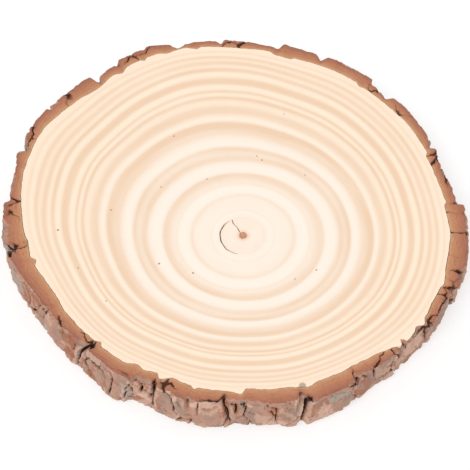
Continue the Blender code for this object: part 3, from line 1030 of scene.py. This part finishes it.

# %% [markdown]
# Bark has two finishes in one. Where it is sawn it shows fine layers, orange-tan next to the wood and
# red-brown further out. Its outer side is weathered: pinkish and grey scales, rusty where one has just broken
# off. Painted light and shade are laid over it too: paler where the side stands proud, rust-dark in its
# hollows, and painted nearly black as shade in the fissures. Both are mixed from noise and from the numbers
# stored on the vertices, so the colours change where the relief does.

# %% Finish of the bark
SAWN_STOPS = (
    (0.00, srgb(210, 162, 126)), (0.10, srgb(198, 144, 108)), (0.28, srgb(191, 134, 101)),
    (0.55, srgb(181, 122, 94)), (0.80, srgb(170, 112, 90)), (1.00, srgb(156, 104, 86)),
)
LAYER_DARK = srgb(132, 76, 54)
LAYER_PALE = srgb(222, 168, 130)
BARK_PINK = srgb(181, 141, 122)
BARK_GREY = srgb(158, 132, 119)
# Rusty red-brown of fresh breaks, also used as painted shade in the hollows of the side.
BARK_RUST_AND_HOLLOW_SHADE = srgb(160, 104, 78)
BARK_PALE = srgb(212, 176, 156)
BARK_COOL = srgb(172, 160, 150)
BARK_LICHEN = srgb(166, 152, 122)
# Black painted as shade in the fissures and the deepest hollows.
FISSURE_SHADE_BLACK = srgb(48, 32, 28)


def finish_bark(name="scaly_bark"):
    finish, shader, start = new_finish(name)
    place = start.node("ShaderNodeTexCoord", output="Object")

    def stored(attribute):
        return start.node("ShaderNodeAttribute", {"attribute_name": attribute}, output="Fac")

    direction = place.vector("MULTIPLY", (1.0, 1.0, 0.0)).vector("NORMALIZE")
    outwards = stored("outwards")

    def layerwise(turns, layers):
        """A place in the bark's layers: bumps to the radian round the ring, and bumps to the mm outwards."""
        depth = start.node("ShaderNodeCombineXYZ", None, {"Z": outwards * layers})
        return direction.vector("MULTIPLY", (turns, turns, 0.0)).vector("ADD", depth)

    fine = place.noise(2400.0, 3.0, 0.6)
    crumbs = place.noise(900.0, 3.0, 0.6)
    streaks = place.vector("MULTIPLY", (1.0, 1.0, 0.22)).noise(1100.0, 3.0, 0.6)
    broad = place.vector("MULTIPLY", (1.0, 1.0, 0.7)).noise(120.0, 3.0, 0.55)
    medium = place.vector("MULTIPLY", (1.0, 1.0, 0.6)).noise(330.0, 3.0, 0.6)

    across = stored("across") + 0.10 * medium
    sawn_colour = across.node("ShaderNodeValToRGB", {"stops": SAWN_STOPS}, {"Fac": across}, "Color")
    layers = layerwise(16.0, 1.9).noise(1.0, 3.0, 0.65)
    thin_layers = layerwise(34.0, 4.6).noise(1.0, 2.0, 0.6)
    sawn_colour = mixed(sawn_colour, LAYER_PALE, (layers + 0.6 * thin_layers).smooth(0.12, 0.75) * 0.55)
    sawn_colour = mixed(sawn_colour, LAYER_DARK, (layers + 0.5 * thin_layers).smooth(-0.10, -0.65) * 0.75)

    scale = stored("scale")
    relief_light_and_shade = stored("relief_light_and_shade")
    side_colour = mixed(BARK_PINK, BARK_GREY, (broad + 0.5 * medium).smooth(-0.25, 0.45))
    side_colour = mixed(side_colour, BARK_RUST_AND_HOLLOW_SHADE, scale.smooth(0.30, 0.10) * 0.55)
    side_colour = mixed(side_colour, BARK_PALE, scale.smooth(0.72, 0.9) * 0.45)
    side_colour = mixed(side_colour, BARK_LICHEN, (medium - 0.6 * broad).smooth(0.30, 0.75) * 0.5)
    side_colour = mixed(side_colour, BARK_RUST_AND_HOLLOW_SHADE, (stored("rust") + 0.3 * crumbs).smooth(0.3, 0.9) * 0.75)
    side_colour = mixed(side_colour, BARK_PALE, (stored("pale") + 0.3 * crumbs).smooth(0.3, 0.9) * 0.8)
    side_colour = mixed(side_colour, BARK_COOL, (stored("grey") + 0.3 * crumbs).smooth(0.3, 0.9) * 0.8)
    # Painted light and shade from the relief: paler where the side stands out, rust-dark in hollows, near black in
    # the deepest.
    side_colour = mixed(side_colour, BARK_PALE, (relief_light_and_shade + 0.25 * crumbs).smooth(0.25, 0.9) * 0.55)
    side_colour = mixed(side_colour, BARK_RUST_AND_HOLLOW_SHADE, (relief_light_and_shade + 0.25 * crumbs).smooth(-0.15, -0.6) * 0.6)
    side_colour = mixed(side_colour, FISSURE_SHADE_BLACK, (relief_light_and_shade + 0.2 * fine).smooth(-0.5, -1.3) * 0.75)
    side_colour = mixed(side_colour, LAYER_DARK, (streaks + 0.4 * fine).smooth(0.15, 0.85) * 0.5)
    side_colour = mixed(side_colour, BARK_PALE, (streaks - 0.4 * fine).smooth(-0.2, -0.85) * 0.45)

    sawn = (stored("sawn") + 0.35 * crumbs).smooth(0.35, 0.65)
    colour = mixed(side_colour, sawn_colour, sawn)
    # The fissures are painted nearly black as shade.
    fissure = stored("fissure") + 0.18 * crumbs
    colour = mixed(colour, FISSURE_SHADE_BLACK, fissure.smooth(0.35, 0.85) * 0.9)
    colour = mixed(colour, LAYER_DARK, fine.smooth(0.25, 0.8) * 0.30)

    plug_in(shader, Base_Color=colour)
    bump = 0.7 * crumbs + 0.5 * fine + 0.6 * layers * sawn + 0.5 * streaks
    normal = start.node("ShaderNodeBump", None, {"Height": bump, "Strength": 0.55, "Distance": 0.0005}, "Normal")
    plug_in(shader, Normal=normal)
    shader.inputs["Roughness"].default_value = 0.92
    shader.inputs["Specular IOR Level"].default_value = 0.15
    return finish

bark_finish = finish_bark()
bark.data.materials.append(bark_finish)
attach(bark, "root")
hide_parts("bark")
print("the bark is finished with", len(bark_finish.node_tree.nodes), "nodes")
